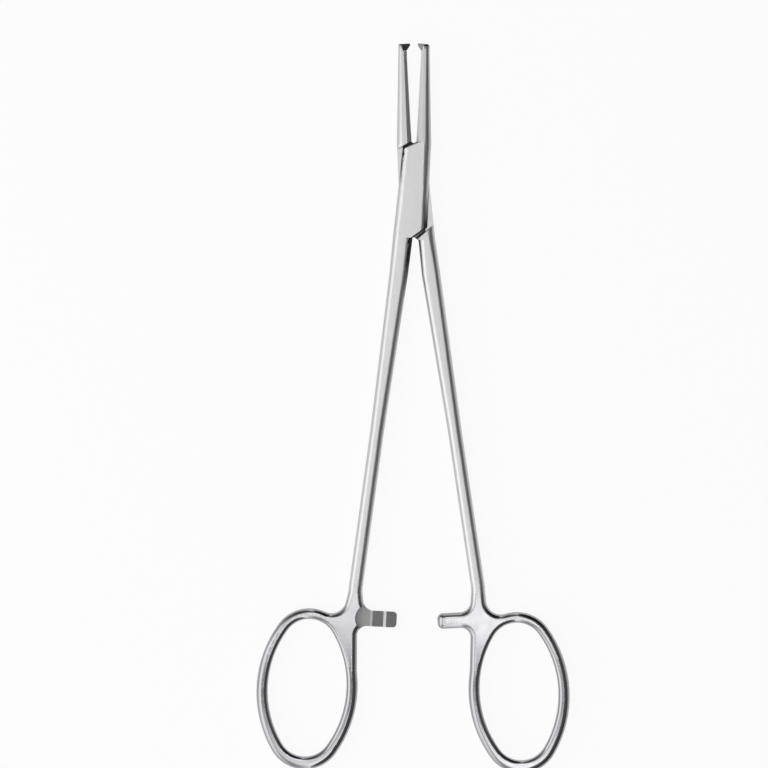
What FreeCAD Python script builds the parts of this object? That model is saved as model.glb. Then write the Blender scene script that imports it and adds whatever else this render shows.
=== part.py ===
import FreeCAD, Part
import math
import os
import re

import Sketcher

# Ring-handled forceps with a box lock: two forged levers and the pin that they turn on.
# The pin's axis is the Z axis, the jaws point along +Y, and the lock's lower face lies at Z = 0.
# Sizes are in millimetres and degrees. "Down" runs from the pivot to the rings, along -Y.

DIMENSIONS = {
    # angle between the levers as they lie, and the room between them when they are shut
    "rest_opening": 6.0,
    "lap_clearance": 0.1,
    # box lock: thickness over both plates, one plate, play of the tongue, widths from the centre line
    "lock_thick": 5.0,
    "plate_thick": 1.35,
    "tongue_play": 0.03,
    "lock_jaw_side": 3.82,
    "lock_waist": 3.66,
    "lock_shank_side": 4.57,
    "lock_neck": 3.27,
    # sloping ends of the lock: height on the centre line and rise per unit of width
    "upper_end": 11.45,
    "upper_slope": 0.52,
    "lower_end": 12.47,
    "lower_slope": 0.79,
    "crotch_offset": 0.3,
    # pivot pin
    "pin_radius": 1.5,
    "pin_play": 0.03,
    # jaws
    "jaw_reach": 35.8,
    "jaw_tip_width": 2.05,
    "jaw_tip_thick": 2.3,
    "jaw_tip_round": 0.95,
    "nose_length": 1.3,
    "nose_thick": 1.8,
    "nose_bevel": 0.5,
    "nose_share": 0.46,
    "jaw_bevel": 1.1,
    "jaw_tip_bevel": 0.75,
    "bevel_slope": 0.73,
    # cross serrations on the jaw faces
    "serration_pitch": 0.65,
    "serration_depth": 0.18,
    "serration_start": 13.2,
    "serration_gap": 0.6,
    # one-by-two teeth at the jaw tips
    "tooth_reach": 0.9,
    "tooth_base": 1.7,
    "tooth_crown": 0.45,
    "tooth_thick": 0.7,
    "tooth_play": 0.1,
    # shanks
    "neck_down": 21.5,
    "neck_width": 4.6,
    "neck_thick": 4.5,
    "middle_down": 60.0,
    "middle_thick": 3.9,
    "foot_down": 99.0,
    "shank_width": 3.42,
    # the short straight run in which the web takes up the shank
    "foot_run": 1.0,
    "foot_round": 6.0,
    # finger rings
    "ring_thick": 3.4,
    "eye_across": 9.7,
    "eye_along": 17.0,
    "eye_end_round": 6.6,
    "ring_wall_side": 2.8,
    "ring_wall_top": 2.65,
    "ring_wall_end": 3.2,
    # shares of the ring's thinnest wall that the rounding takes, outside and in the eye
    "outer_share": 0.53,
    "eye_share": 0.42,
    # rounding of the long edges
    "lock_round": 1.7,
    "shank_round": 1.5,
    "web_outer_round": 3.6,
    "web_limb_round": 12.0,
    # ratchet arms
    "arm_height": 3.9,
    "arm_upper_round": 2.7,
    "arm_lower_round": 2.3,
    "recess_height": 7.0,
    "ratchet_pitch": 3.4,
    "ratchet_rise": 0.7,
    "ratchet_flank": 0.7,
    "ratchet_lead": 2.6,
    "ratchet_overrun": 0.035,
    "recess_length": 3.6,
    "recess_end_round": 3.49,
    # where the web's outline ends inside the ring, as shares of the eye and of its wall
    "web_top_share": 0.66,
    "web_side_share": 0.9,
    "web_wall_share": 0.93,
    "arm_root_step": 0.6,
    # how far a cut runs past what it cuts
    "excess": 1.0,
    # the levers are trued by hand, so their shanks, rings and arms differ a little
    "box_neck_out": 2.68,
    "box_middle_out": 5.93,
    "box_foot_out": 9.22,
    "box_ring_out": 19.9,
    "box_ring_drop": 25.5,
    "box_arm_drop": 7.6,
    "box_arm_reach": 1.3,
    "box_limb_out": 8.35,
    "box_tip_round": 0.95,
    "box_nose_round": 0.8,
    "box_end_round": 0.45,
    "tongue_neck_out": 3.09,
    "tongue_middle_out": 6.9,
    "tongue_foot_out": 10.62,
    "tongue_ring_out": 19.4,
    "tongue_ring_drop": 26.4,
    "tongue_arm_drop": 8.05,
    "tongue_arm_reach": -0.2,
    "tongue_limb_out": 8.3,
    "tongue_tip_round": 1.35,
    "tongue_nose_round": 0.45,
    "tongue_end_round": 0.3,
}

OUTER_ROUND = "ring_wall_top * outer_share"
EYE_ROUND = "ring_wall_top * eye_share"
RATCHET_TEETH = 2

# Lengths under NEAR mm count as nothing, and faces that meet at under SMOOTH radians as one.
NEAR = 0.001
SMOOTH = 0.02
SLOPING = 0.3

doc = FreeCAD.newDocument("mosquito_forceps")
sheet = doc.addObject("Spreadsheet::Sheet", "dims")
for row, (alias, size) in enumerate(DIMENSIONS.items(), start=1):
    sheet.set(f"A{row}", alias)
    sheet.set(f"B{row}", str(size))
    sheet.setAlias(f"B{row}", alias)
doc.recompute()


def bound(expression):
    """The expression with each dimension read from the sheet."""

    def read(word):
        return f"dims.{word[0]}" if word[0] in DIMENSIONS else word[0]

    return re.sub(r"[a-z_]+", read, expression)


def value(expression):
    return float(sheet.evalExpression(bound(expression)))


def constrain(sketch, kind, places, expression):
    index = sketch.addConstraint(Sketcher.Constraint(kind, *places, value(expression)))
    sketch.setExpression(f"Constraints[{index}]", bound(expression))


def pin_point(sketch, geometry, end, across, along):
    """Holds one end of a piece of geometry at a place measured from the sketch's origin."""
    constrain(sketch, "DistanceX", (-1, 1, geometry, end), across)
    constrain(sketch, "DistanceY", (-1, 1, geometry, end), along)


def new_sketch(body, name, role, offset="0"):
    sketch = body.newObject("Sketcher::SketchObject", name)
    plane = next(feature for feature in body.Origin.OriginFeatures if feature.Role == role)
    sketch.AttachmentSupport = [(plane, "")]
    sketch.MapMode = "FlatFace"
    sketch.setExpression("AttachmentOffset.Base.z", bound(offset))
    return sketch


def add_outline(sketch, corners):
    """A closed outline of straight runs from corner to corner, rounded where a corner has a radius."""
    places = [FreeCAD.Vector(value(corner[0]), value(corner[1]), 0) for corner in corners]
    count = len(corners)
    arrivals, departures, arcs = [], [], []
    for i, corner in enumerate(corners):
        here = places[i]
        back = (places[i - 1] - here).normalize()
        ahead = (places[(i + 1) % count] - here).normalize()
        radius = value(corner[2]) if len(corner) > 2 else 0
        half_angle = back.getAngle(ahead) / 2
        reach = radius / math.tan(half_angle)
        arrivals.append(here + back * reach)
        departures.append(here + ahead * reach)
        if not radius:
            arcs.append(None)
            continue
        centre = here + (back + ahead).normalize() * (radius / math.sin(half_angle))
        turns_left = back.cross(ahead).z < 0
        first, last = (arrivals[i], departures[i]) if turns_left else (departures[i], arrivals[i])
        start = math.atan2(first.y - centre.y, first.x - centre.x)
        sweep = (math.atan2(last.y - centre.y, last.x - centre.x) - start) % (2 * math.pi)
        circle = Part.Circle(centre, FreeCAD.Vector(0, 0, 1), radius)
        arcs.append((Part.ArcOfCircle(circle, start, start + sweep), turns_left))
    lines = []
    for i in range(count):
        run = Part.LineSegment(departures[i], arrivals[(i + 1) % count])
        lines.append(sketch.addGeometry(run, False))
    for i, corner in enumerate(corners):
        before, after = lines[i - 1], lines[i]
        if arcs[i] is None:
            sketch.addConstraint(Sketcher.Constraint("Coincident", before, 2, after, 1))
            pin_point(sketch, after, 1, corner[0], corner[1])
            continue
        arc_shape, turns_left = arcs[i]
        arc = sketch.addGeometry(arc_shape, False)
        entry, leave = (1, 2) if turns_left else (2, 1)
        point = sketch.addGeometry(Part.Point(places[i]), True)
        pin_point(sketch, point, 1, corner[0], corner[1])
        sketch.addConstraint(Sketcher.Constraint("PointOnObject", point, 1, before))
        sketch.addConstraint(Sketcher.Constraint("PointOnObject", point, 1, after))
        sketch.addConstraint(Sketcher.Constraint("Tangent", before, 2, arc, entry))
        sketch.addConstraint(Sketcher.Constraint("Tangent", after, 1, arc, leave))
        constrain(sketch, "Radius", (arc,), corner[2])


def add_oval(sketch, across, along, half_across, half_along, end_round):
    """An upright oval of four tangent arcs about a centre."""
    side_round = (f"(({half_across}) ^ 2 + ({half_along} - ({end_round})) ^ 2 - ({end_round}) ^ 2)"
                  f" / (2 * ({half_across} - ({end_round})))")
    end_radius, side_radius = value(end_round), value(side_round)
    centre_x, centre_y = value(across), value(along)
    end_offset = value(f"{half_along} - ({end_round})")
    side_offset = side_radius - value(half_across)
    turn = math.atan2(end_offset, side_offset)
    arcs = []
    for offset_x, offset_y, radius, start, stop in (
        (-side_offset, 0, side_radius, -turn, turn),
        (0, end_offset, end_radius, turn, math.pi - turn),
        (side_offset, 0, side_radius, math.pi - turn, math.pi + turn),
        (0, -end_offset, end_radius, math.pi + turn, 2 * math.pi - turn),
    ):
        centre = FreeCAD.Vector(centre_x + offset_x, centre_y + offset_y, 0)
        circle = Part.Circle(centre, FreeCAD.Vector(0, 0, 1), radius)
        arcs.append(sketch.addGeometry(Part.ArcOfCircle(circle, start, stop), False))
    for before, after in zip(arcs, arcs[1:] + arcs[:1]):
        sketch.addConstraint(Sketcher.Constraint("Tangent", before, 2, after, 1))
    right, top, left, bottom = arcs
    pin_point(sketch, top, 3, across, f"{along} + ({half_along}) - ({end_round})")
    pin_point(sketch, bottom, 3, across, f"{along} - ({half_along}) + ({end_round})")
    for arc, radius in ((top, end_round), (bottom, end_round), (right, side_round), (left, side_round)):
        constrain(sketch, "Radius", (arc,), radius)


def solid_step(body, kind, name, sketch, length=None, both_ways=False, reverse=False):
    """A pad or pocket of a sketch."""
    step = body.newObject(f"PartDesign::{kind}", name)
    step.Profile = sketch
    if length is None:
        step.Type = "ThroughAll"
    else:
        step.setExpression("Length", bound(length))
    step.Midplane = both_ways
    step.Reversed = reverse
    return step


def edges_where(feature, wanted):
    doc.recompute()
    return [f"Edge{i}" for i, edge in enumerate(feature.Shape.Edges, start=1) if wanted(edge)]


def is_sharp(shape, edge):
    """Whether the two faces that meet at an edge make a corner there."""
    middle = edge.valueAt((edge.FirstParameter + edge.LastParameter) / 2)
    faces = shape.ancestorsOfType(edge, Part.Face)
    normals = [face.normalAt(*face.Surface.parameter(middle)) for face in faces]
    return len(normals) == 2 and normals[0].getAngle(normals[1]) > SMOOTH


class Lever:
    """One forged lever, drawn shut.

    `shank` is the side of its shank and ring, +1 or -1 along X. `face` is the side of its ratchet
    teeth, +1 or -1 along Z. `crotch` is where its shank leaves the lock, towards that shank.
    """

    def __init__(self, name, shank, face, crotch):
        self.name = name
        self.shank = shank
        self.face = face
        self.crotch = crotch
        self.arm_down = f"(foot_down + {name}_arm_drop)"
        self.ring_down = f"(foot_down + {name}_ring_drop)"
        self.body = doc.addObject("PartDesign::Body", name)
        self.body.Label = f"{name}_half"

    def own(self, word):
        return f"{self.name}_{word}"

    def out(self, expression):
        """A distance from the centre line towards this lever's shank, as an X of the drawing."""
        return f"{self.shank} * ({expression})"

    def sketch(self, name, role, offset="0"):
        return new_sketch(self.body, self.own(name), role, offset)

    def draw(self, sketch, corners):
        """An outline whose first coordinates are distances towards the shank."""
        turned = [(self.out(corner[0]), *corner[1:]) for corner in corners]
        add_outline(sketch, turned)

    def section(self, name, down, inner, outer, thick, inner_round, outer_round):
        """A cross section of the lever: a flat bar with rounded long edges."""
        sketch = self.sketch(name, "XZ_Plane", down)
        self.draw(sketch, [
            (inner, f"-({thick}) / 2", inner_round),
            (outer, f"-({thick}) / 2", outer_round),
            (outer, f"({thick}) / 2", outer_round),
            (inner, f"({thick}) / 2", inner_round),
        ])
        return sketch

    def jaw_section(self, name, down, width, thick, back_round, bevel):
        """A cross section of the jaw: a rounded back, and bevels along the serrated face."""
        sketch = self.sketch(name, "XZ_Plane", down)
        half_face = f"(({thick}) / 2 - {bevel} * bevel_slope)"
        self.draw(sketch, [
            (f"-{width}", f"-({thick}) / 2", back_round),
            (f"-{bevel}", f"-({thick}) / 2"),
            ("0", f"-{half_face}"),
            ("0", half_face),
            (f"-{bevel}", f"({thick}) / 2"),
            (f"-{width}", f"({thick}) / 2", back_round),
        ])
        return sketch

    def loft(self, name, sections, ruled=False):
        step = self.body.newObject("PartDesign::AdditiveLoft", self.own(name))
        step.Profile = sections[0]
        step.Sections = sections[1:]
        step.Ruled = ruled
        doc.recompute()
        return step

    def rounded(self, name, feature, wanted, radius):
        """A fillet on the wanted edges of a feature."""
        edges = edges_where(feature, wanted)
        fillet = self.body.newObject("PartDesign::Fillet", self.own(name))
        fillet.Base = (feature, edges)
        fillet.setExpression("Radius", bound(radius))
        doc.recompute()
        return fillet

    def ring_and_arm(self):
        """The finger ring, the web it grows from and the ratchet arm, all one thickness."""
        arm, reach = self.arm_down, self.own("arm_reach")
        limb, foot = self.own("limb_out"), self.own("foot_out")
        ring_out, ring_down = self.own("ring_out"), self.ring_down
        web = self.sketch("web_sketch", "XY_Plane")
        self.draw(web, [
            (f"{foot} + shank_width / 2", "-foot_down"),
            (f"{foot} + shank_width / 2", "-(foot_down + foot_run)", "foot_round"),
            (f"{ring_out} - eye_across * web_top_share", f"-({ring_down} - eye_along * web_top_share)"),
            (f"{ring_out} - eye_across * web_side_share", f"-{ring_down}"),
            (f"{ring_out} - eye_across - ring_wall_side * web_wall_share", f"-{ring_down}"),
            (limb, f"-({arm} + arm_height / 2)", "arm_lower_round"),
            (f"-{reach}", f"-({arm} + arm_height / 2)", self.own("tip_round")),
            (f"-{reach}", f"-({arm} - arm_height / 2)", self.own("tip_round")),
            (f"{foot} - shank_width / 2 - arm_root_step", f"-({arm} - arm_height / 2)", "arm_upper_round"),
            (f"{foot} - shank_width / 2", "-(foot_down + foot_run)", "foot_round"),
            (f"{foot} - shank_width / 2", "-foot_down"),
        ])
        solid_step(self.body, "Pad", self.own("web"), web, "ring_thick", both_ways=True)
        rim = self.sketch("rim_sketch", "XY_Plane")
        rim_along = "eye_along + (ring_wall_top + ring_wall_end) / 2"
        rim_centre = f"-({ring_down} + (ring_wall_end - ring_wall_top) / 2)"
        add_oval(rim, self.out(ring_out), rim_centre, "eye_across + ring_wall_side", rim_along,
                 "eye_end_round + ring_wall_side")
        solid_step(self.body, "Pad", self.own("rim"), rim, "ring_thick", both_ways=True)
        eye = self.sketch("eye_sketch", "XY_Plane")
        add_oval(eye, self.out(ring_out), f"-{ring_down}", "eye_across", "eye_along", "eye_end_round")
        cut = solid_step(self.body, "Pocket", self.own("eye"), eye, both_ways=True)
        doc.recompute()
        return cut

    def round_ring(self, cut):
        """Blends the shank and the limb into the ring, then rounds every long edge of ring, web and arm."""
        foot_out, foot_down = value(self.own("foot_out")), value("foot_down")
        half_thick = value("ring_thick / 2")
        eye_out, eye_down = value(self.own("ring_out")), value(self.ring_down)

        def corner(edge):
            upright = edge.BoundBox.ZLength > half_thick
            return upright and edge.BoundBox.YMax < -foot_down - NEAR and is_sharp(cut.Shape, edge)

        def at_shank(edge):
            return corner(edge) and self.shank * edge.BoundBox.Center.x > foot_out

        cut = self.rounded("shank_blend", cut, at_shank, "web_outer_round")
        step = self.rounded("limb_blend", cut, corner, "web_limb_round")

        def level(edge):
            box = edge.BoundBox
            return box.ZLength < NEAR and abs(abs(box.Center.z) - half_thick) < NEAR

        def in_eye(edge):
            middle = edge.valueAt((edge.FirstParameter + edge.LastParameter) / 2)
            across = (self.shank * middle.x - eye_out) / value("eye_across + ring_wall_side / 2")
            along = (-middle.y - eye_down) / value("eye_along + ring_wall_top / 2")
            return level(edge) and math.hypot(across, along) < 1

        def long_edge(edge):
            at_foot = edge.BoundBox.YMin > -foot_down - NEAR
            return level(edge) and not at_foot and not in_eye(edge)

        step = self.rounded("eye_round", step, in_eye, EYE_ROUND)
        return self.rounded("web_round", step, long_edge, OUTER_ROUND)

    def bar(self):
        """The forged bar from the ring's foot through the shank and the lock to the jaw's tip."""
        neck, middle, foot = self.own("neck_out"), self.own("middle_out"), self.own("foot_out")
        crotch_down = f"lower_end + lower_slope * ({self.crotch})"

        def across(name, down, centre, width, thick, rounding):
            inner, outer = f"{centre} - {width} / 2", f"{centre} + {width} / 2"
            return self.section(name, down, inner, outer, thick, rounding, rounding)

        self.loft("shank", [
            across("foot_section", "foot_down", foot, "shank_width", "ring_thick", OUTER_ROUND),
            across("middle_section", "middle_down", middle, "shank_width", "middle_thick", "shank_round"),
            across("neck_section", "neck_down", neck, "neck_width", "neck_thick", "shank_round"),
            self.section("crotch_section", crotch_down, self.crotch, "lock_shank_side", "lock_thick",
                         "lock_round", "lock_round"),
        ], ruled=True)
        self.loft("lock", [
            self.section("lower_section", crotch_down, "-lock_jaw_side", "lock_shank_side", "lock_thick",
                         "lock_round", "lock_round"),
            self.section("upper_section", "-upper_end", "-lock_waist", "lock_neck", "lock_thick",
                         "lock_round", "lock_round"),
        ], ruled=True)
        jaw = self.loft("jaw", [
            self.jaw_section("root_section", "-upper_end", "lock_waist", "lock_thick",
                             "lock_round", "jaw_bevel"),
            self.jaw_section("tip_section", "-(jaw_reach - nose_length)", "jaw_tip_width", "jaw_tip_thick",
                             "jaw_tip_round", "jaw_tip_bevel"),
            self.jaw_section("nose_section", "-jaw_reach", "jaw_tip_width", "nose_thick",
                             "nose_thick * nose_share", "nose_bevel"),
        ], ruled=True)

        def at_nose(edge):
            return edge.BoundBox.YMin > value("jaw_reach") - NEAR

        return self.rounded("nose", jaw, at_nose, self.own("nose_round"))

    def trim_lock(self):
        """The sloping ends of the lock: one under the other lever's jaw, one over its shank."""
        wide = "lock_shank_side + excess"
        upper = self.sketch("upper_trim_sketch", "XY_Plane")
        self.draw(upper, [
            ("0", "upper_end"),
            (wide, f"upper_end - upper_slope * ({wide})"),
            (wide, "upper_end + excess"),
        ])
        solid_step(self.body, "Pocket", self.own("upper_trim"), upper, both_ways=True)
        lower = self.sketch("lower_trim_sketch", "XY_Plane")
        self.draw(lower, [
            (self.crotch, f"-lower_end - lower_slope * ({self.crotch})"),
            (f"-({wide})", f"-lower_end + lower_slope * ({wide})"),
            (f"-({wide})", f"-lower_end - lower_slope * ({self.crotch}) - excess"),
        ])
        return solid_step(self.body, "Pocket", self.own("lower_trim"), lower, both_ways=True)

    def round_ends(self, cut):
        """Breaks the edges that the lock's sloping ends make with its flat faces."""
        doc.recompute()
        half_thick = value("lock_thick / 2")
        lowest = -value("lower_end + neck_down") / 2

        def slopes(face):
            if not isinstance(face.Surface, Part.Plane):
                return False
            normal = face.normalAt(0, 0)
            return abs(normal.z) < NEAR and min(abs(normal.x), abs(normal.y)) > SLOPING

        def at_end(edge):
            box = edge.BoundBox
            level = box.ZLength < NEAR and abs(abs(box.Center.z) - half_thick) < NEAR
            faces = cut.Shape.ancestorsOfType(edge, Part.Face)
            long_enough = edge.Length > half_thick / 2
            return level and long_enough and box.YMin > lowest and any(slopes(face) for face in faces)

        self.rounded("ends", cut, at_end, self.own("end_round"))

    def cut_slot(self):
        """The slot between the two plates that the other lever's tongue turns in."""
        wide = "lock_shank_side + excess"
        upper_room = "lap_clearance * sqrt(1 + upper_slope ^ 2)"
        lower_room = "lap_clearance * sqrt(1 + lower_slope ^ 2)"
        beyond = "crotch_offset + lap_clearance * 2"
        slot = self.sketch("slot_sketch", "XY_Plane")
        self.draw(slot, [
            (wide, f"-lower_end + lower_slope * ({wide}) - {lower_room}"),
            (f"-({beyond})", f"-lower_end - lower_slope * ({beyond}) - {lower_room}"),
            (f"-({wide})", f"-lower_end - lower_slope * ({beyond}) - {lower_room}"),
            (f"-({wide})", f"upper_end - upper_slope * ({wide}) + {upper_room}"),
            ("0", f"upper_end + {upper_room}"),
            (wide, f"upper_end + {upper_room} + excess"),
        ])
        width = "lock_thick - 2 * plate_thick"
        solid_step(self.body, "Pocket", self.own("slot"), slot, width, both_ways=True)

    def thin_tongue(self):
        """The tongue: the lock thinned on both faces, up to shoulders that stand clear of the plates."""
        wide = "lock_shank_side + excess"
        upper_room = "lap_clearance * sqrt(1 + upper_slope ^ 2)"
        lower_room = "lap_clearance * sqrt(1 + lower_slope ^ 2)"
        edge = "crotch_offset + lap_clearance / 2"
        half_tongue = "(lock_thick / 2 - plate_thick - tongue_play)"
        for side, sign in (("front", 1), ("back", -1)):
            cheek = self.sketch(f"{side}_cheek_sketch", "XY_Plane", f"{sign} * {half_tongue}")
            self.draw(cheek, [
                (f"-({wide})", f"upper_end - upper_slope * ({wide}) + {upper_room}"),
                (f"-({wide})", "-lower_end - 2 * excess"),
                (edge, "-lower_end - 2 * excess"),
                (edge, f"-lower_end + lower_slope * ({edge}) - {lower_room}"),
                (wide, f"-lower_end + lower_slope * ({wide}) - {lower_room}"),
                (wide, f"upper_end + {upper_room}"),
                ("0", f"upper_end + {upper_room}"),
            ])
            name = self.own(f"{side}_cheek")
            cut = solid_step(self.body, "Pocket", name, cheek, "lock_thick", reverse=sign > 0)
        return cut

    def bore(self, radius):
        """The hole for the pivot pin."""
        hole = self.sketch("bore_sketch", "XY_Plane")
        round_hole = Part.Circle(FreeCAD.Vector(), FreeCAD.Vector(0, 0, 1), value(radius))
        circle = hole.addGeometry(round_hole, False)
        hole.addConstraint(Sketcher.Constraint("Coincident", circle, 3, -1, 1))
        constrain(hole, "Radius", (circle,), radius)
        solid_step(self.body, "Pocket", self.own("bore"), hole, both_ways=True)

    def cut_ratchet(self):
        """The arm's sawteeth, which ramp towards the tip, and the round-ended recess behind them."""
        arm, reach = self.arm_down, self.own("arm_reach")
        root = f"(ratchet_lead + ratchet_pitch + ratchet_flank - {reach})"
        floor, crest = "-ratchet_rise / 2", "ratchet_rise / 2"
        profile = [(root, floor)]
        for tooth in range(RATCHET_TEETH):
            foot = f"{root} - {tooth} * ratchet_pitch"
            if tooth:
                profile.append((foot, floor))
            profile.append((f"{foot} - ratchet_flank", crest))
        beyond = f"-{reach} - excess"
        profile += [(f"-{reach}", floor), (beyond, floor), (beyond, "ring_thick"), (root, "ring_thick")]
        teeth = self.sketch("ratchet_sketch", "XZ_Plane", arm)
        self.draw(teeth, [(along, f"{self.face} * ({height})") for along, height in profile])
        solid_step(self.body, "Pocket", self.own("ratchet"), teeth, "recess_height", both_ways=True)
        recess = self.sketch("recess_sketch", "XY_Plane", f"-{self.face} * ratchet_rise / 2")
        start, end = f"{root} - ratchet_overrun", f"{root} + recess_length"
        self.draw(recess, [
            (start, f"-({arm} + recess_height / 2)"),
            (end, f"-({arm} + recess_height / 2)", "recess_end_round"),
            (end, f"-({arm} - recess_height / 2)", "recess_end_round"),
            (start, f"-({arm} - recess_height / 2)"),
        ])
        solid_step(self.body, "Pocket", self.own("recess"), recess, "ring_thick", reverse=self.face > 0)

    def serrate(self, start):
        """Cross grooves on the jaw's face, which the other jaw's ridges stand between."""
        groove = self.sketch("groove_sketch", "XY_Plane")
        self.draw(groove, [
            ("serration_depth / 4", start),
            ("-serration_depth", f"{start} + serration_pitch / 2"),
            ("serration_depth / 4", f"{start} + serration_pitch"),
        ])
        cut = solid_step(self.body, "Pocket", self.own("groove"), groove, both_ways=True)
        row = self.body.newObject("PartDesign::LinearPattern", self.own("serrations"))
        row.Originals = [cut]
        y_axis = next(feature for feature in self.body.Origin.OriginFeatures if feature.Role == "Y_Axis")
        row.Direction = (y_axis, [""])
        steps = f"floor((jaw_reach - tooth_base - serration_gap - ({start})) / serration_pitch - 1)"
        row.setExpression("Length", bound(f"serration_pitch * {steps}"))
        row.setExpression("Occurrences", bound(f"{steps} + 1"))
        self.body.Tip = row

    def notch(self, thick=None):
        """Room at the jaw's tip for the other jaw's teeth."""
        deep = "-(tooth_reach + tooth_play)"
        low = "jaw_reach - tooth_base - tooth_play"
        room = self.sketch("notch_sketch", "XY_Plane")
        self.draw(room, [
            (deep, low),
            ("tooth_reach + excess", low),
            ("tooth_reach + excess", "jaw_reach + excess"),
            (deep, "jaw_reach + excess"),
        ])
        solid_step(self.body, "Pocket", self.own("notch"), room, thick, both_ways=True)

    def tooth(self, thick):
        """A tooth that slopes up from the jaw's face to a crown at the tip."""
        root = "-(tooth_reach + tooth_play * 2)"
        fang = self.sketch("tooth_sketch", "XY_Plane")
        self.draw(fang, [
            (root, "jaw_reach - tooth_base"),
            ("0", "jaw_reach - tooth_base"),
            ("tooth_reach", "jaw_reach - tooth_crown"),
            ("tooth_reach", "jaw_reach"),
            (root, "jaw_reach"),
        ])
        solid_step(self.body, "Pad", self.own("tooth"), fang, thick, both_ways=True)

    def swing(self, angle):
        """Turns the finished lever from shut to the way it lies, and lifts it onto its lower face."""
        some_turn = FreeCAD.Rotation(FreeCAD.Vector(0, 0, 1), 1)
        self.body.Placement = FreeCAD.Placement(FreeCAD.Vector(), some_turn)
        self.body.setExpression("Placement.Rotation.Angle", bound(angle))
        self.body.setExpression("Placement.Base.z", bound("lock_thick / 2"))


box = Lever("box", shank=-1, face=1, crotch="-crotch_offset")
tongue = Lever("tongue", shank=1, face=-1, crotch="crotch_offset + lap_clearance")
for lever in (box, tongue):
    disc = lever.ring_and_arm()
    lever.round_ring(disc)
    lever.bar()
    lever.cut_ratchet()

plates = box.trim_lock()
box.round_ends(plates)
box.cut_slot()
box.bore("pin_radius")
box.tooth("nose_thick - tooth_play")
box.notch("tooth_thick + tooth_play * 2")
box.serrate("serration_start")
box.swing("-rest_opening / 2")

tongue.trim_lock()
shoulders = tongue.thin_tongue()
tongue.round_ends(shoulders)
tongue.bore("pin_radius + pin_play")
tongue.notch()
tongue.tooth("tooth_thick")
tongue.serrate("serration_start + serration_pitch / 2")
tongue.swing("rest_opening / 2")

pin = doc.addObject("Part::Cylinder", "pin")
pin.Label = "pivot_pin"
pin.setExpression("Radius", bound("pin_radius"))
pin.setExpression("Height", bound("lock_thick"))
doc.recompute()

for thing in doc.Objects:
    if "Invalid" in thing.State or "Error" in thing.State:
        raise RuntimeError(f"{thing.Name} did not build: {thing.State}")

os.makedirs("parts", exist_ok=True)
for piece in (box.body, tongue.body, pin):
    if piece.Shape.isNull() or not piece.Shape.isValid() or len(piece.Shape.Solids) != 1:
        raise RuntimeError(f"{piece.Label} is not one sound solid")
for piece in (box.body, tongue.body, pin):
    piece.Shape.exportStep(f"parts/{piece.Label}.step")
    print(piece.Label, round(piece.Shape.Volume, 2), piece.Shape.BoundBox)
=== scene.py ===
import math

import bmesh
import bpy
from mathutils import Matrix, Vector


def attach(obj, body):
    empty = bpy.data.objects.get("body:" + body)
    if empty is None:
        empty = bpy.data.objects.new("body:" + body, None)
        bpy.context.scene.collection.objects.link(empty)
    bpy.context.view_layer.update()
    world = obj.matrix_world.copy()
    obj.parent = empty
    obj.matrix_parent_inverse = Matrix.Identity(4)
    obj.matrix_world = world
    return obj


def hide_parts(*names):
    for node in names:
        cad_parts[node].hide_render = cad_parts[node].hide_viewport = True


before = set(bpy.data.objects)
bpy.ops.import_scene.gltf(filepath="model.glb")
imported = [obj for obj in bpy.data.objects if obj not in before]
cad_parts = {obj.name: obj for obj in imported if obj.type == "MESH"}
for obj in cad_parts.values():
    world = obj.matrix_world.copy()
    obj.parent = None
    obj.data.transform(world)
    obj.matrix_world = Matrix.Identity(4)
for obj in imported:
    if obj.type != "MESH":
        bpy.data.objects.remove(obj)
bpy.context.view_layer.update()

# The box half
# One steel forging: right jaw, the two plates of the box lock, left shank, ring and ratchet arm.
# Its flats are ground lengthwise to a satin, its rings are buffed, and inside the lock and on the
# ratchet it stays as the milling cutter left it.
MM = 0.001
# half the angle between the levers as they lie
HALF_OPENING = math.radians(3)

# Places on a shut lever, whose pivot is at the origin and whose jaw points along +Y.
LOCK_MIDDLE = 2.5 * MM
LOCK_TOP, LOCK_BOTTOM = 16 * MM, -19 * MM
# the lock's sloping steps: where each meets the centre line, its rise, and the way to the tongue
STEPS = ((11.45 * MM, 0.52, -1), (-12.47 * MM, 0.79, 1))
# half the slot's height and a little more, and the strip of slot face beside each step that gets
# painted shade
SLOT_FACE = 1.2 * MM
SHADED_STRIP = 0.5 * MM
# past this line on both sides the tongue shows beside the box, and is ground with the outside
GROUND_SIDE = 2.3 * MM
# painted shade lies on the box half's right side from beside the tongue's shoulder down into the
# crotch below the lock, and on the outer part of its left side's round beside the other shoulder
SHOULDER_FROM, CROTCH_END = -2 * MM, -27 * MM
UPPER_FROM = 1 * MM
# the ratchet's teeth are this near to the lever's middle plane, which divides the arms
TOOTHED_FACE = 0.5 * MM
# the foot of the web, from which all of the ring is buffed
WEB_END = -118 * MM
# the teeth at the tip, and the tip's rounded end
TEETH_FROM, TEETH_DEPTH = 33.8 * MM, 1.2 * MM
NOSE_FROM = 34.8 * MM

# Faces by the upward part of their normals: level, nearly flat, and the outer half of a round.
LEVEL, FLAT, STEEP = 0.995, 0.9, 0.72

# The outer edges are broken, but not those of the pin's bore and of the fine serrations.
BREAK_EDGE = 0.12 * MM
PIN_ROOM = 2.2 * MM
SERRATED_FROM, SERRATED_DEPTH = 11 * MM, 0.5 * MM
SHARPEST_SMOOTH = math.radians(32)
# points nearer than this are one point
SAME_POINT = 0.002 * MM


def colour(code):
    """An sRGB hex colour as linear RGBA."""
    channels = [int(code[i:i + 2], 16) / 255 for i in (1, 3, 5)]
    linear = [c / 12.92 if c <= 0.04045 else ((c + 0.055) / 1.055) ** 2.4 for c in channels]
    return (*linear, 1.0)


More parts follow.
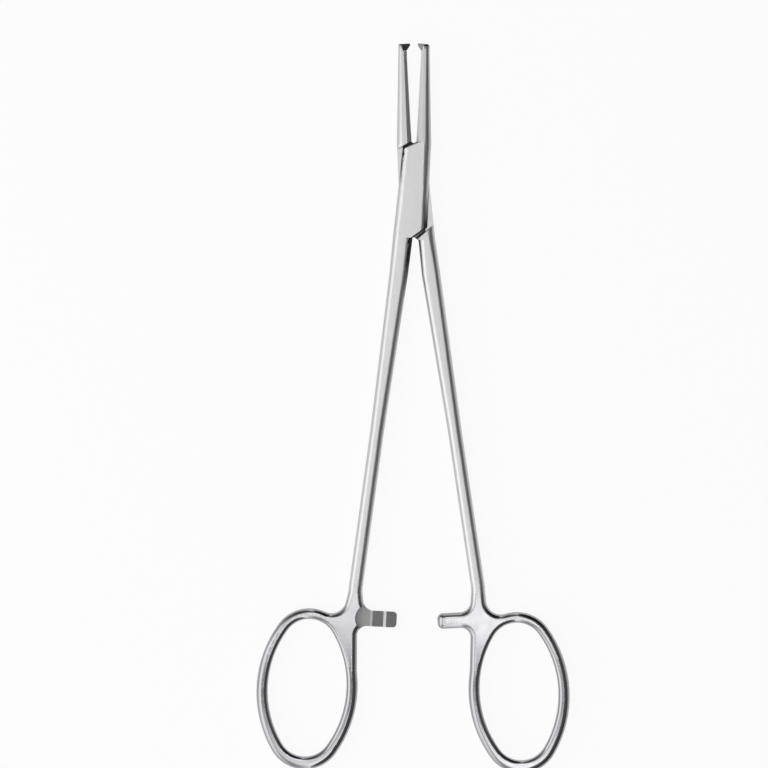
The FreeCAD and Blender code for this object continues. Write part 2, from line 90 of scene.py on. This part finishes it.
def add_node(material, kind, links=None, **settings):
    """A node with its settings. Links are {input: plain value} or {input: (node, output)}."""
    node = material.node_tree.nodes.new(kind)
    for name, setting in settings.items():
        setattr(node, name, setting)
    for name, source in (links or {}).items():
        socket = next(s for i, s in enumerate(node.inputs) if s.enabled and name in (i, s.name))
        if isinstance(source, tuple) and isinstance(source[0], bpy.types.Node):
            material.node_tree.links.new(socket, source[0].outputs[source[1]])
        else:
            socket.default_value = source
    return node


# Satin stainless steel: ground lengthwise with fine grit, so it looks soft and silvery, and light
# spreads a little across the lines. The real lines are about 0.05 mm apart. They are drawn coarser,
# at 0.3 mm, so that they show in the picture, and drawn out over 30 times along the lever.
LINE_SPACING = 0.3 * MM
LINE_STRETCH = 0.03
satin_steel = bpy.data.materials.new("ground satin stainless steel")
satin_steel.use_nodes = True
place = add_node(satin_steel, "ShaderNodeTexCoord")
along_it = add_node(satin_steel, "ShaderNodeMapping",
                    {"Vector": (place, "Object"), "Scale": (1.0, LINE_STRETCH, 1.0)})
grain = add_node(satin_steel, "ShaderNodeTexNoise",
                 {"Vector": (along_it, "Vector"), "Scale": 1 / LINE_SPACING,
                  "Detail": 3.0, "Roughness": 0.6})
tint = add_node(satin_steel, "ShaderNodeMix",
                {"Factor": (grain, "Fac"), "A": colour("#BDBDBE"), "B": colour("#CFCFD0")},
                data_type="RGBA")
rough = add_node(satin_steel, "ShaderNodeMapRange",
                 {"Value": (grain, "Fac"), "From Min": 0.3, "From Max": 0.7,
                  "To Min": 0.34, "To Max": 0.42})
relief = add_node(satin_steel, "ShaderNodeBump",
                  {"Height": (grain, "Fac"), "Strength": 0.1, "Distance": 0.02 * MM})
shader = satin_steel.node_tree.nodes["Principled BSDF"]
shader.inputs["Metallic"].default_value = 1.0
for name, output in (("Base Color", tint.outputs[2]), ("Roughness", rough.outputs["Result"]),
                     ("Normal", relief.outputs["Normal"])):
    satin_steel.node_tree.links.new(shader.inputs[name], output)

# Buffed stainless steel: the rings' rounds are polished on a cloth wheel, which takes the lines away
# from the foot of the shank on. They mirror the tent in sharp bands and so look darker. The wheel
# leaves the polish clouded in patches of about 2.5 mm.
BUFFED_FROM, BUFFED_TO = -96 * MM, -106 * MM
CLOUD_SIZE = 2.5 * MM
buffed_steel = bpy.data.materials.new("buffed stainless steel")
buffed_steel.use_nodes = True
place = add_node(buffed_steel, "ShaderNodeTexCoord")
parts = add_node(buffed_steel, "ShaderNodeSeparateXYZ", {0: (place, "Object")})
polish = add_node(buffed_steel, "ShaderNodeMapRange",
                  {"Value": (parts, "Y"), "From Min": BUFFED_FROM, "From Max": BUFFED_TO},
                  interpolation_type="SMOOTHSTEP")
clouds = add_node(buffed_steel, "ShaderNodeTexNoise",
                  {"Vector": (place, "Object"), "Scale": 1 / CLOUD_SIZE, "Detail": 2.0})
clouded = add_node(buffed_steel, "ShaderNodeMapRange",
                   {"Value": (clouds, "Fac"), "From Min": 0.3, "From Max": 0.7,
                    "To Min": 0.07, "To Max": 0.11})
rough = add_node(buffed_steel, "ShaderNodeMix",
                 {"Factor": (polish, "Result"), "A": 0.38, "B": (clouded, "Result")},
                 data_type="FLOAT")
tint = add_node(buffed_steel, "ShaderNodeMix",
                {"Factor": (polish, "Result"), "A": colour("#C6C6C7"), "B": colour("#A2A2A5")},
                data_type="RGBA")
shader = buffed_steel.node_tree.nodes["Principled BSDF"]
shader.inputs["Metallic"].default_value = 1.0
buffed_steel.node_tree.links.new(shader.inputs["Base Color"], tint.outputs[2])
buffed_steel.node_tree.links.new(shader.inputs["Roughness"], rough.outputs[0])

# Milled stainless steel: the cutter leaves marks about 0.2 mm apart and over a millimetre long
# across the arm, and nobody polishes them out of the ratchet's recess, so it scatters the light and
# looks a duller grey than the satin round it.
MARK_SPACING = 0.2 * MM
MARK_STRETCH = 0.15
milled_steel = bpy.data.materials.new("milled stainless steel")
milled_steel.use_nodes = True
place = add_node(milled_steel, "ShaderNodeTexCoord")
across_it = add_node(milled_steel, "ShaderNodeMapping",
                     {"Vector": (place, "Object"), "Scale": (1.0, MARK_STRETCH, 1.0)})
marks = add_node(milled_steel, "ShaderNodeTexNoise",
                 {"Vector": (across_it, "Vector"), "Scale": 1 / MARK_SPACING, "Detail": 2.0})
tint = add_node(milled_steel, "ShaderNodeMix",
                {"Factor": (marks, "Fac"), "A": colour("#9A9A9B"), "B": colour("#ACACAD")},
                data_type="RGBA")
relief = add_node(milled_steel, "ShaderNodeBump",
                  {"Height": (marks, "Fac"), "Strength": 0.15, "Distance": 0.02 * MM})
shader = milled_steel.node_tree.nodes["Principled BSDF"]
shader.inputs["Metallic"].default_value = 1.0
shader.inputs["Roughness"].default_value = 0.55
milled_steel.node_tree.links.new(shader.inputs["Base Color"], tint.outputs[2])
milled_steel.node_tree.links.new(shader.inputs["Normal"], relief.outputs["Normal"])

# Steel with painted shade: near black, in mottles of about 1.5 mm, painted where shade falls between
# the levers, so that the steps between the levers and the sides of the lock read as black lines.
# Along the box half's sides the painted shade fades out to clean steel.
SHADE_MOTTLE_SIZE = 1.5 * MM
SHADE_TOP = 6 * MM
SHADE_FADE = ((CROTCH_END, 1), (-18 * MM, 0), (-9 * MM, 0),
              (SHOULDER_FROM, 1), (UPPER_FROM, 1), (SHADE_TOP, 0))
painted_shade_steel = bpy.data.materials.new("steel with painted shade")
painted_shade_steel.use_nodes = True
place = add_node(painted_shade_steel, "ShaderNodeTexCoord")
shade_mottle = add_node(painted_shade_steel, "ShaderNodeTexNoise",
                 {"Vector": (place, "Object"), "Scale": 1 / SHADE_MOTTLE_SIZE, "Detail": 3.0})
shade_tone = add_node(painted_shade_steel, "ShaderNodeMix",
                {"Factor": (shade_mottle, "Fac"), "A": colour("#2E2D2C"), "B": colour("#4A4948")},
                data_type="RGBA")
parts = add_node(painted_shade_steel, "ShaderNodeSeparateXYZ", {0: (place, "Object")})
up_it = add_node(painted_shade_steel, "ShaderNodeMapRange",
                 {"Value": (parts, "Y"), "From Min": CROTCH_END, "From Max": SHADE_TOP})
shade_fade = add_node(painted_shade_steel, "ShaderNodeValToRGB", {"Fac": (up_it, "Result")})
shade_fade.color_ramp.elements.remove(shade_fade.color_ramp.elements[1])
for along, level in SHADE_FADE:
    stop = shade_fade.color_ramp.elements.new((along - CROTCH_END) / (SHADE_TOP - CROTCH_END))
    stop.color = (level, level, level, 1)
shade_fade.color_ramp.elements.remove(shade_fade.color_ramp.elements[0])
tint = add_node(painted_shade_steel, "ShaderNodeMix",
                {"Factor": (shade_fade, "Color"), "A": (shade_tone, 2), "B": colour("#C6C6C7")},
                data_type="RGBA")
shader = painted_shade_steel.node_tree.nodes["Principled BSDF"]
shader.inputs["Metallic"].default_value = 1.0
shader.inputs["Roughness"].default_value = 0.5
painted_shade_steel.node_tree.links.new(shader.inputs["Base Color"], tint.outputs[2])

# Stainless steel with a painted highlight: the ratchet's catching flanks are coloured near white,
# brighter than steel, in fine mottles of about 0.4 mm, and show as white lines between the dull
# teeth.
HIGHLIGHT_MOTTLE_SIZE = 0.4 * MM
painted_highlight_steel = bpy.data.materials.new("stainless steel with painted highlight")
painted_highlight_steel.use_nodes = True
place = add_node(painted_highlight_steel, "ShaderNodeTexCoord")
highlight_mottle = add_node(painted_highlight_steel, "ShaderNodeTexNoise",
                  {"Vector": (place, "Object"), "Scale": 1 / HIGHLIGHT_MOTTLE_SIZE, "Detail": 2.0})
tint = add_node(painted_highlight_steel, "ShaderNodeMix",
                {"Factor": (highlight_mottle, "Fac"), "A": colour("#DCDCDD"), "B": colour("#F0F0F1")},
                data_type="RGBA")
shader = painted_highlight_steel.node_tree.nodes["Principled BSDF"]
shader.inputs["Metallic"].default_value = 1.0
shader.inputs["Roughness"].default_value = 0.6
painted_highlight_steel.node_tree.links.new(shader.inputs["Base Color"], tint.outputs[2])

# the last two are painted shade and a painted highlight, not finishes of the steel
FINISHES = (satin_steel, buffed_steel, milled_steel, painted_shade_steel, painted_highlight_steel)
SATIN, BUFFED, MILLED, PAINTED_SHADE, PAINTED_HIGHLIGHT = range(len(FINISHES))


def whole_copy(node_name, piece_name):
    """A copy of a CAD node as one merged mesh."""
    piece = bpy.data.objects.new(piece_name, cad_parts[node_name].data.copy())
    bpy.context.scene.collection.objects.link(piece)
    bpy.ops.object.select_all(action="DESELECT")
    piece.select_set(True)
    bpy.context.view_layer.objects.active = piece
    bpy.ops.object.mode_set(mode="EDIT")
    bpy.ops.mesh.select_all(action="SELECT")
    bpy.ops.mesh.remove_doubles(threshold=SAME_POINT)
    bpy.ops.mesh.dissolve_limited(angle_limit=math.radians(0.2))
    bpy.ops.object.mode_set(mode="OBJECT")
    return piece


def smooth_rounds(piece):
    """Shades the rounds smooth and keeps the flats flat."""
    bpy.ops.object.shade_smooth_by_angle(angle=SHARPEST_SMOOTH)
    flats = piece.modifiers.new("flats stay flat", "WEIGHTED_NORMAL")
    flats.keep_sharp = True
    flats.weight = 80
    bpy.ops.object.modifier_apply(modifier=flats.name)


def finish_at(place, normal, box):
    """The finish of a face, or its painted shade or highlight, from its centre and normal as on the
    shut lever.
    """
    x, y, z = place
    flat, steep = abs(normal.z) > FLAT, abs(normal.z) < STEEP
    off_middle = abs(z - LOCK_MIDDLE)
    at_lock = LOCK_BOTTOM < y < LOCK_TOP
    if not box and at_lock and abs(x) > GROUND_SIDE:
        return SATIN

    # these faces get painted shade: the lock's steps, the slot face beside them, the crotch, the
    # side beside the shoulder, the tips' noses and the tongue half's tip teeth
    at_step = at_lock and math.hypot(x, y) > PIN_ROOM and steep and abs(normal.y) > 0.45
    in_slot = at_lock and off_middle < SLOT_FACE and flat
    in_step_shade = any((y - along - slope * x) * inwards < SHADED_STRIP for along, slope, inwards in STEPS)
    in_crotch = box and CROTCH_END < y < SHOULDER_FROM and normal.x > 0.3 and not flat
    by_shoulder = box and UPPER_FROM < y < STEPS[0][0] and normal.x < -0.6 and steep
    at_nose = y > NOSE_FROM and normal.y > 0.35
    on_tooth = y > TEETH_FROM and abs(x) < TEETH_DEPTH and flat
    if at_step or in_slot and in_step_shade or in_crotch or by_shoulder or at_nose or on_tooth and not box:
        return PAINTED_SHADE

    toothed_side = normal.z if box else -normal.z
    on_ratchet = y < LOCK_BOTTOM and off_middle < TOOTHED_FACE and toothed_side > 0.3
    if in_slot or on_tooth or on_ratchet and flat:
        return MILLED
    if on_ratchet:
        return PAINTED_HIGHLIGHT
    return BUFFED if y < WEB_END or y < BUFFED_FROM and abs(normal.z) < LEVEL else SATIN


def finished_forging(node_name, piece_name, swing, box):
    """The CAD forging with its outer edges broken, and each face given its finish, painted shade or
    painted highlight.

    `swing` is the angle by which the lever lies turned from shut. The box half has its ratchet
    teeth on top, and the tongue half below.
    """
    piece = whole_copy(node_name, piece_name)
    forging = bmesh.new()
    forging.from_mesh(piece.data)
    turned = Matrix.Rotation(swing, 3, "Z")
    to_break = forging.edges.layers.float.new("bevel_weight_edge")
    for edge in forging.edges:
        x, y, _ = turned.inverted() @ (edge.verts[0].co + edge.verts[1].co) / 2
        in_bore = math.hypot(x, y) <= PIN_ROOM
        serrated = y > SERRATED_FROM and abs(x) < SERRATED_DEPTH
        if edge.calc_face_angle() > SHARPEST_SMOOTH and not in_bore and not serrated:
            edge[to_break] = 1.0

    # Faces are split where one finish or painted shade ends and the next begins.
    cuts = [((0, along + inwards * SHADED_STRIP, 0), (-slope, 1, 0))
            for along, slope, inwards in STEPS]
    if box:
        cuts += [((0, along, 0), (0, 1, 0)) for along in (UPPER_FROM, SHOULDER_FROM, CROTCH_END)]
    else:
        cuts += [((side, 0, 0), (1, 0, 0)) for side in (-GROUND_SIDE, GROUND_SIDE)]
    for through, across in cuts:
        bmesh.ops.bisect_plane(forging, geom=forging.verts[:] + forging.edges[:] + forging.faces[:],
                               dist=SAME_POINT, plane_co=turned @ Vector(through),
                               plane_no=turned @ Vector(across).normalized())
    forging.to_mesh(piece.data)
    forging.free()

    bevel = piece.modifiers.new("broken edges", "BEVEL")
    bevel.width = BREAK_EDGE
    bevel.segments = 2
    bevel.limit_method = "WEIGHT"
    bpy.ops.object.modifier_apply(modifier=bevel.name)
    smooth_rounds(piece)
    piece.data.materials.clear()
    for finish in FINISHES:
        piece.data.materials.append(finish)
    for face in piece.data.polygons:
        face.material_index = finish_at(turned.inverted() @ face.center,
                                        turned.inverted() @ face.normal, box)
    return piece


box_lever = finished_forging("box_half", "box_lever", -HALF_OPENING, box=True)
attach(box_lever, "box_lever")
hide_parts("box_half")

# The tongue half
# The other forging, of the same steel and finished with the box half: left jaw, the tongue inside
# the box, right shank, ring and ratchet arm. Its ratchet teeth face down, so from above its arm
# shows only a plain back.
tongue_lever = finished_forging("tongue_half", "tongue_lever", HALF_OPENING, box=False)
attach(tongue_lever, "tongue_lever")
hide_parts("tongue_half")

# The pivot pin
# A steel pin pressed through both plates, ground flush with them and then finished with them, so
# it hardly shows.
pin = whole_copy("pivot_pin", "flush_pin")
smooth_rounds(pin)
pin.data.materials.clear()
pin.data.materials.append(satin_steel)
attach(pin, "box_lever")
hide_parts("pivot_pin")

# The studio
# A white table in a light tent. The cloth glows on the left and overhead, and is flagged dark on
# the right and beyond the tips, which draws the dark lines along the polished edges.
TABLE_SIZE = 6.0
# the share of plain white that the camera and the steel see; the rest of the table takes shadow
TABLE_SHARE = 0.92
bpy.ops.object.select_all(action="DESELECT")
bpy.ops.mesh.primitive_plane_add(size=TABLE_SIZE, location=(0, 0, 0))
table = bpy.context.object
table.name = "table"
white = bpy.data.materials.new("white table")
white.use_nodes = True
table_top = white.node_tree.nodes["Principled BSDF"]
table_top.inputs["Base Color"].default_value = colour("#F4F4F4")
table_top.inputs["Roughness"].default_value = 0.9
ray = add_node(white, "ShaderNodeLightPath")
seen = add_node(white, "ShaderNodeMath",
                {0: (ray, "Is Camera Ray"), 1: (ray, "Is Glossy Ray")}, operation="MAXIMUM")
seen_through = add_node(white, "ShaderNodeMath",
                        {0: (seen, "Value"), 1: (ray, "Is Transmission Ray")}, operation="MAXIMUM")
share = add_node(white, "ShaderNodeMath",
                 {0: (seen_through, "Value"), 1: TABLE_SHARE}, operation="MULTIPLY")
glow = add_node(white, "ShaderNodeEmission", {"Color": colour("#FFFFFF"), "Strength": 1.0})
mixed = add_node(white, "ShaderNodeMixShader",
                 {0: (share, "Value"), 1: (table_top, "BSDF"), 2: (glow, "Emission")})
white.node_tree.links.new(white.node_tree.nodes["Material Output"].inputs["Surface"],
                          mixed.outputs["Shader"])
table.data.materials.append(white)

TENT_RADIUS = 0.9
bpy.ops.object.select_all(action="DESELECT")
bpy.ops.mesh.primitive_uv_sphere_add(segments=48, ring_count=24, radius=TENT_RADIUS,
                                     location=(0, 0, 0))
tent = bpy.context.object
tent.name = "light_tent"
tent.visible_camera = False
tent.visible_shadow = False
cloth = bpy.data.materials.new("tent cloth")
cloth.use_nodes = True
cloth.cycles.emission_sampling = "NONE"
cloth.node_tree.nodes.remove(cloth.node_tree.nodes["Principled BSDF"])
spot = add_node(cloth, "ShaderNodeTexCoord")
parts = add_node(cloth, "ShaderNodeSeparateXYZ", {0: (spot, "Object")})
# How the cloth glows across the tent and along it, from -1 to 1 of its radius, as shares of its
# strength overhead. A face that is tilted by an angle mirrors the cloth at twice that angle.
STRENGTH = 2.17
GLOW = {
    "X": ((-1, 0.4), (-0.93, 0.65), (-0.82, 0.95), (-0.6, 1.0), (-0.46, 0.75), (-0.34, 0.42),
          (-0.2, 0.45), (-0.12, 0.65), (-0.02, 1.0), (0.06, 1.45), (0.11, 0.4), (0.17, 0.13),
          (0.4, 0.07), (0.88, 0.05), (0.97, 0.2), (1.0, 0.3)),
    "Y": ((-1, 0.6), (-0.7, 0.7), (-0.3, 1.0), (0.2, 1.0), (0.38, 0.35), (0.6, 0.1), (0.86, 0.1),
          (0.96, 0.5), (1.0, 0.6)),
}
glows = []
for axis, stops in GLOW.items():
    spread = add_node(cloth, "ShaderNodeMapRange",
                      {"Value": (parts, axis), "From Min": -TENT_RADIUS, "From Max": TENT_RADIUS})
    ramp = add_node(cloth, "ShaderNodeValToRGB", {"Fac": (spread, "Result")})
    ramp.color_ramp.elements.remove(ramp.color_ramp.elements[1])
    for where, level in stops:
        stop = ramp.color_ramp.elements.new((where + 1) / 2)
        stop.color = (level, level, level, 1)
    ramp.color_ramp.elements.remove(ramp.color_ramp.elements[0])
    glows.append(ramp)
both = add_node(cloth, "ShaderNodeMix",
                {"Factor": 1.0, "A": (glows[0], "Color"), "B": (glows[1], "Color")},
                data_type="RGBA", blend_type="MULTIPLY")
# A narrow slit in the cloth above the rings shows dark in their crowns. Its glow comes back from
# 0.6 to 1.3 of its half sizes.
SLIT_PLACE = (0.02 * TENT_RADIUS, -0.188 * TENT_RADIUS, 0.98 * TENT_RADIUS)
SLIT_HALF_SIZE = (0.24 * TENT_RADIUS, 0.018 * TENT_RADIUS, TENT_RADIUS)
from_slit = add_node(cloth, "ShaderNodeVectorMath",
                     {0: (spot, "Object"), 1: SLIT_PLACE}, operation="SUBTRACT")
in_half_sizes = add_node(cloth, "ShaderNodeVectorMath",
                         {0: (from_slit, "Vector"), 1: SLIT_HALF_SIZE}, operation="DIVIDE")
away = add_node(cloth, "ShaderNodeVectorMath", {0: (in_half_sizes, "Vector")}, operation="LENGTH")
past_slit = add_node(cloth, "ShaderNodeMapRange",
                     {"Value": (away, "Value"), "From Min": 0.6, "From Max": 1.3,
                      "To Min": 0.05 * STRENGTH, "To Max": STRENGTH})
lit = add_node(cloth, "ShaderNodeEmission", {"Color": (both, 2), "Strength": (past_slit, "Result")})
cloth.node_tree.links.new(cloth.node_tree.nodes["Material Output"].inputs["Surface"],
                          lit.outputs["Emission"])
tent.data.materials.append(cloth)

world = bpy.data.worlds.new("studio")
bpy.context.scene.world = world
world.use_nodes = True
world.node_tree.nodes["Background"].inputs["Color"].default_value = colour("#FFFFFF")

# The camera
# A long lens straight above, with the tips up. Its frame cuts the bottoms of the finger rings.
# A pixel of the picture is this much of the forceps, and the pivot lies at this pixel of it.
PICTURE = 768
PIXEL = 0.247 * MM
PIVOT_ACROSS, PIVOT_DOWN = 414, 188.5
CAMERA_HEIGHT = 1.5
SENSOR_WIDTH = 36.0
camera_data = bpy.data.cameras.new("camera")
camera_data.sensor_width = SENSOR_WIDTH
camera_data.lens = SENSOR_WIDTH * CAMERA_HEIGHT / (PICTURE * PIXEL)
camera = bpy.data.objects.new("camera", camera_data)
bpy.context.scene.collection.objects.link(camera)
camera.location = ((PICTURE / 2 - PIVOT_ACROSS) * PIXEL, (PIVOT_DOWN - PICTURE / 2) * PIXEL,
                   CAMERA_HEIGHT + LOCK_MIDDLE)
bpy.context.scene.camera = camera

bpy.context.scene.view_settings.view_transform = "Standard"

bpy.context.view_layer.update()
